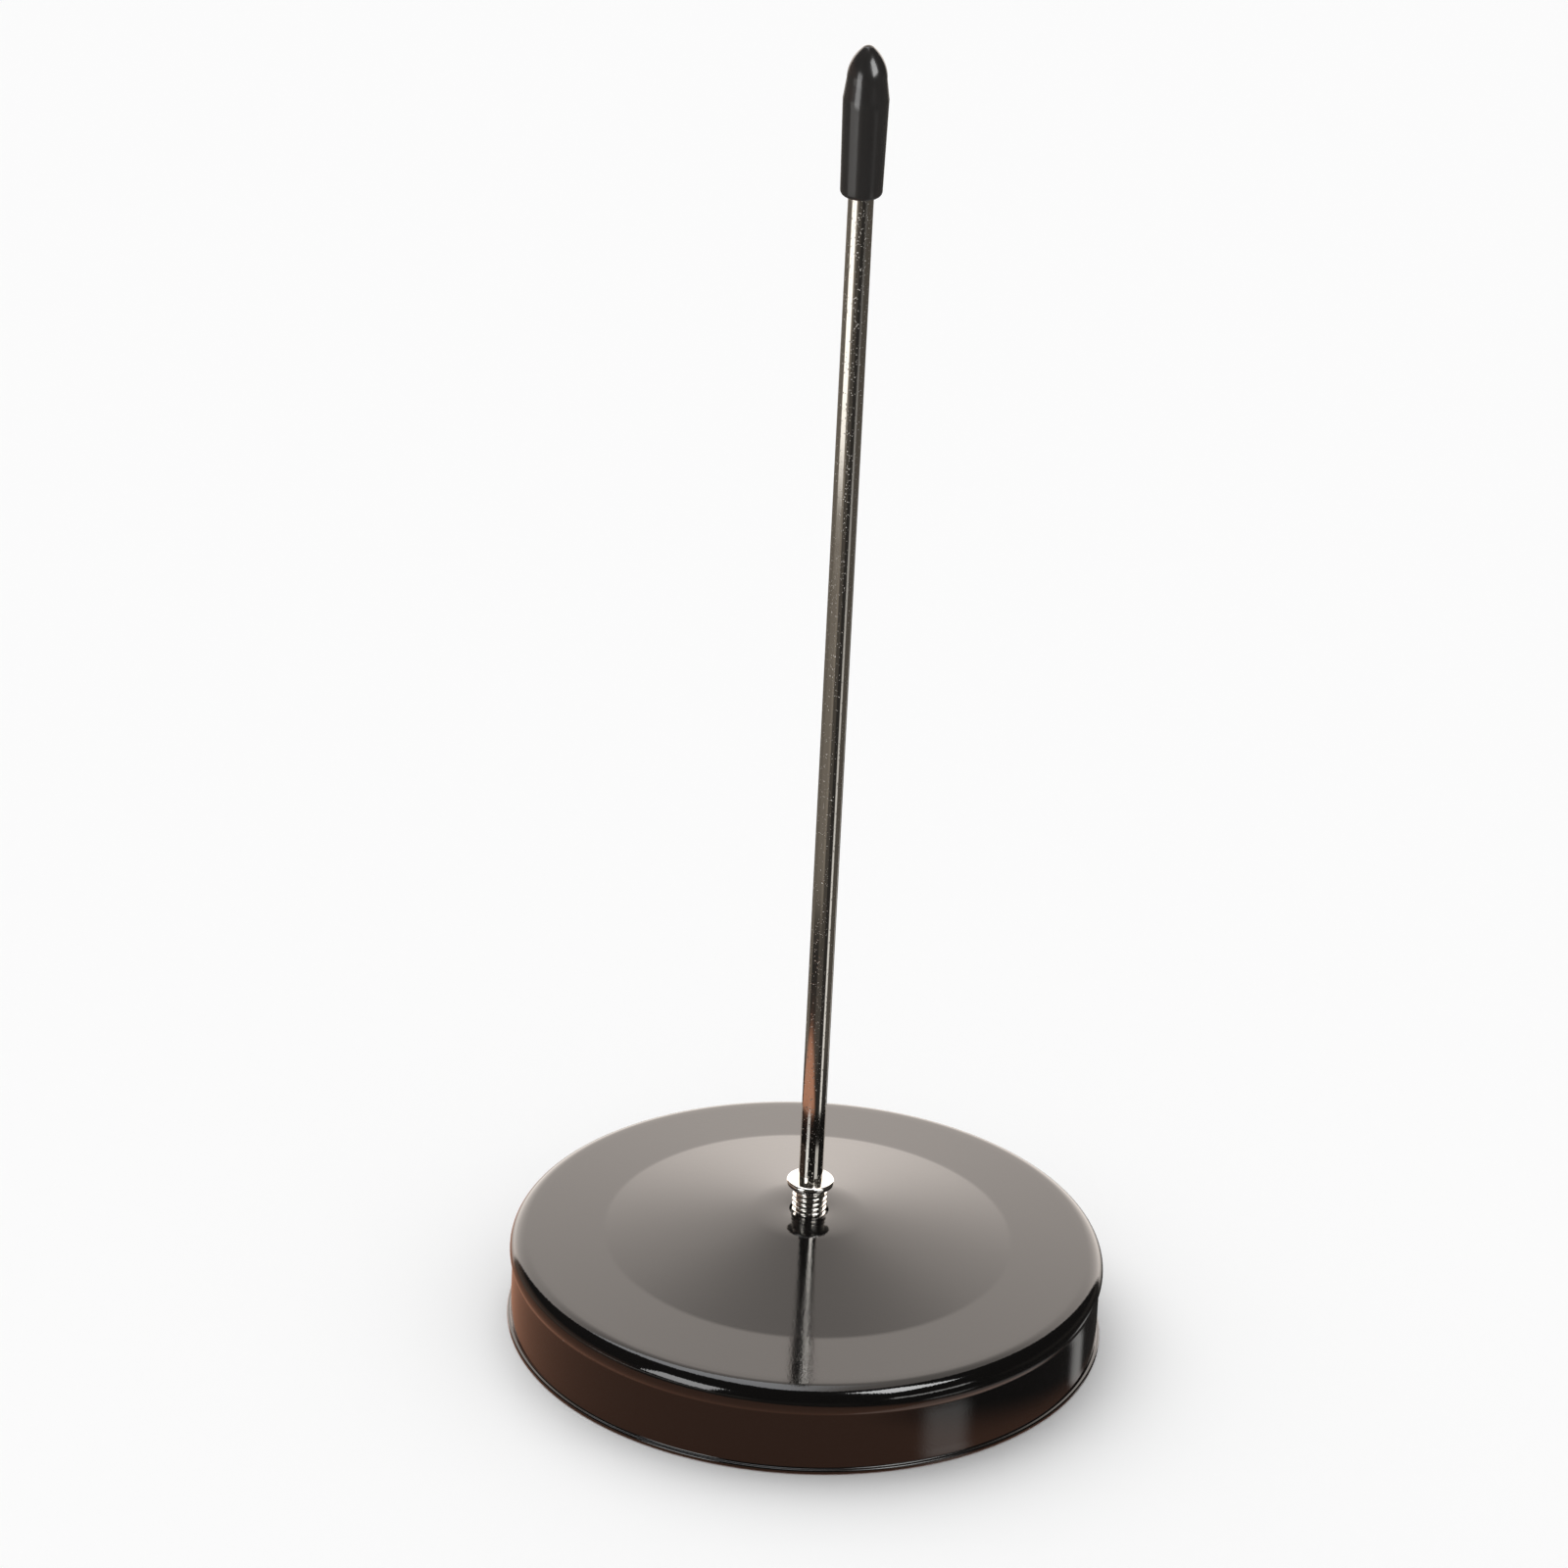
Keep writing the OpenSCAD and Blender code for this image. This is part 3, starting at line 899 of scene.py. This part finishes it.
def soft_lamp():
    """One broad lamp overhead, from behind on the left, for a soft shadow on the floor."""
    bpy.ops.object.select_all(action="DESELECT")
    bpy.ops.object.light_add(type="SUN", rotation=LAMP_TILT)
    lamp = bpy.context.object
    lamp.name = "soft_lamp"
    lamp.data.energy = LAMP_LEVEL
    lamp.data.angle = LAMP_SPREAD
    lamp.visible_glossy = False


def soft_box(name, azimuth, away, bottom, top, width, roll, level):
    """A lit panel beside the object that shows only in shiny surfaces, at an azimuth in degrees."""
    turn = math.radians(azimuth)
    place = (away * math.sin(turn), -away * math.cos(turn), (bottom + top) / 2)
    bpy.ops.object.select_all(action="DESELECT")
    rotation = (math.radians(90), math.radians(roll), turn)
    bpy.ops.object.light_add(type="AREA", location=place, rotation=rotation)
    box = bpy.context.object
    box.name = name
    box.data.shape = "RECTANGLE"
    box.data.size = width
    box.data.size_y = top - bottom
    box.data.energy = BOX_WATTS * level * width * (top - bottom)
    box.visible_camera = False
    box.visible_diffuse = False


def lit_floor():
    """What shiny surfaces show of the floor: a warm tone by the base, white and grey parts beyond."""
    bpy.ops.object.select_all(action="DESELECT")
    bpy.ops.mesh.primitive_plane_add(size=LIT_FLOOR_SIZE, location=(0, 0, -LIT_FLOOR_DROP))
    floor = start_piece("lit_floor")
    material, tree = empty_material("lit_floor")
    place = add_node(tree, "ShaderNodeTexCoord").outputs["Object"]
    axes = add_node(tree, "ShaderNodeSeparateXYZ", {0: place}).outputs
    azimuth = azimuth_of(tree, axes)
    away = add_node(tree, "ShaderNodeVectorMath", {0: place}, operation="LENGTH").outputs["Value"]
    inputs = {0: place, 1: WARM_MIDDLE}
    off_middle = add_node(tree, "ShaderNodeVectorMath", inputs, operation="DISTANCE").outputs["Value"]
    parts = [(FLOOR_WARM, ramp_between(tree, off_middle, *WARM_REACH), WARM_LEVEL)]
    for colour, level, middle, half_width, nearest in FLOOR_PARTS:
        across = maths(tree, "ABSOLUTE", maths(tree, "SUBTRACT", azimuth, float(middle)))
        beside = ramp_between(tree, across, half_width + FLOOR_PART_EDGE, half_width - FLOOR_PART_EDGE)
        beyond = ramp_between(tree, away, FLOOR_PART_FROM * nearest, FLOOR_PART_TO * nearest)
        parts.append((colour, maths(tree, "MULTIPLY", beside, beyond), level))
    shown = add_node(tree, "ShaderNodeBsdfTransparent").outputs[0]
    for colour, mask, level in parts:
        strength = maths(tree, "MULTIPLY", mask, level)
        light = add_node(tree, "ShaderNodeEmission", {"Color": (*colour, 1), "Strength": strength})
        shown = add_node(tree, "ShaderNodeAddShader", {0: shown, 1: light.outputs[0]}).outputs[0]
    output = add_node(tree, "ShaderNodeOutputMaterial")
    tree.links.new(shown, output.inputs["Surface"])
    floor.data.materials.append(material)
    floor.visible_camera = False
    floor.visible_diffuse = False
    floor.visible_shadow = False


studio_world()
soft_lamp()
lit_floor()
soft_box(
    "left_box", azimuth=-42, away=400 * MM, bottom=48 * MM, top=235 * MM, width=185 * MM, roll=10,
    level=4.5,
)
soft_box(
    "right_box", azimuth=45, away=250 * MM, bottom=210 * MM, top=430 * MM, width=150 * MM, roll=-15,
    level=9.0,
)
bpy.context.scene.view_settings.view_transform = "Standard"


# Camera

IMAGE_PIXELS = 1600
FOCAL_PIXELS = 8334.6
SENSOR_MM = 36
CAMERA_AWAY = 1.0163
CAMERA_UP = 0.5945
CAMERA_PITCH = 0.4640
CAMERA_YAW = -0.0064
CAMERA_ROLL = 0.0486


def photo_camera():
    """The camera at the photograph's viewing angle."""
    data = bpy.data.cameras.new("photo_camera")
    data.sensor_width = SENSOR_MM
    data.lens = FOCAL_PIXELS * SENSOR_MM / IMAGE_PIXELS
    data.clip_start = 0.01
    data.clip_end = 20
    camera = bpy.data.objects.new("photo_camera", data)
    bpy.context.scene.collection.objects.link(camera)
    ahead = Vector((
        math.sin(CAMERA_YAW) * math.cos(CAMERA_PITCH),
        math.cos(CAMERA_YAW) * math.cos(CAMERA_PITCH),
        -math.sin(CAMERA_PITCH),
    ))
    level = Vector((math.cos(CAMERA_YAW), -math.sin(CAMERA_YAW), 0))
    above = level.cross(ahead)
    right = math.cos(CAMERA_ROLL) * level + math.sin(CAMERA_ROLL) * above
    up = math.cos(CAMERA_ROLL) * above - math.sin(CAMERA_ROLL) * level
    turn = Matrix((right, up, -ahead)).transposed()
    camera.matrix_world = Matrix.Translation((0, -CAMERA_AWAY, CAMERA_UP)) @ turn.to_4x4()
    bpy.context.scene.camera = camera


photo_camera()

bpy.context.view_layer.update()
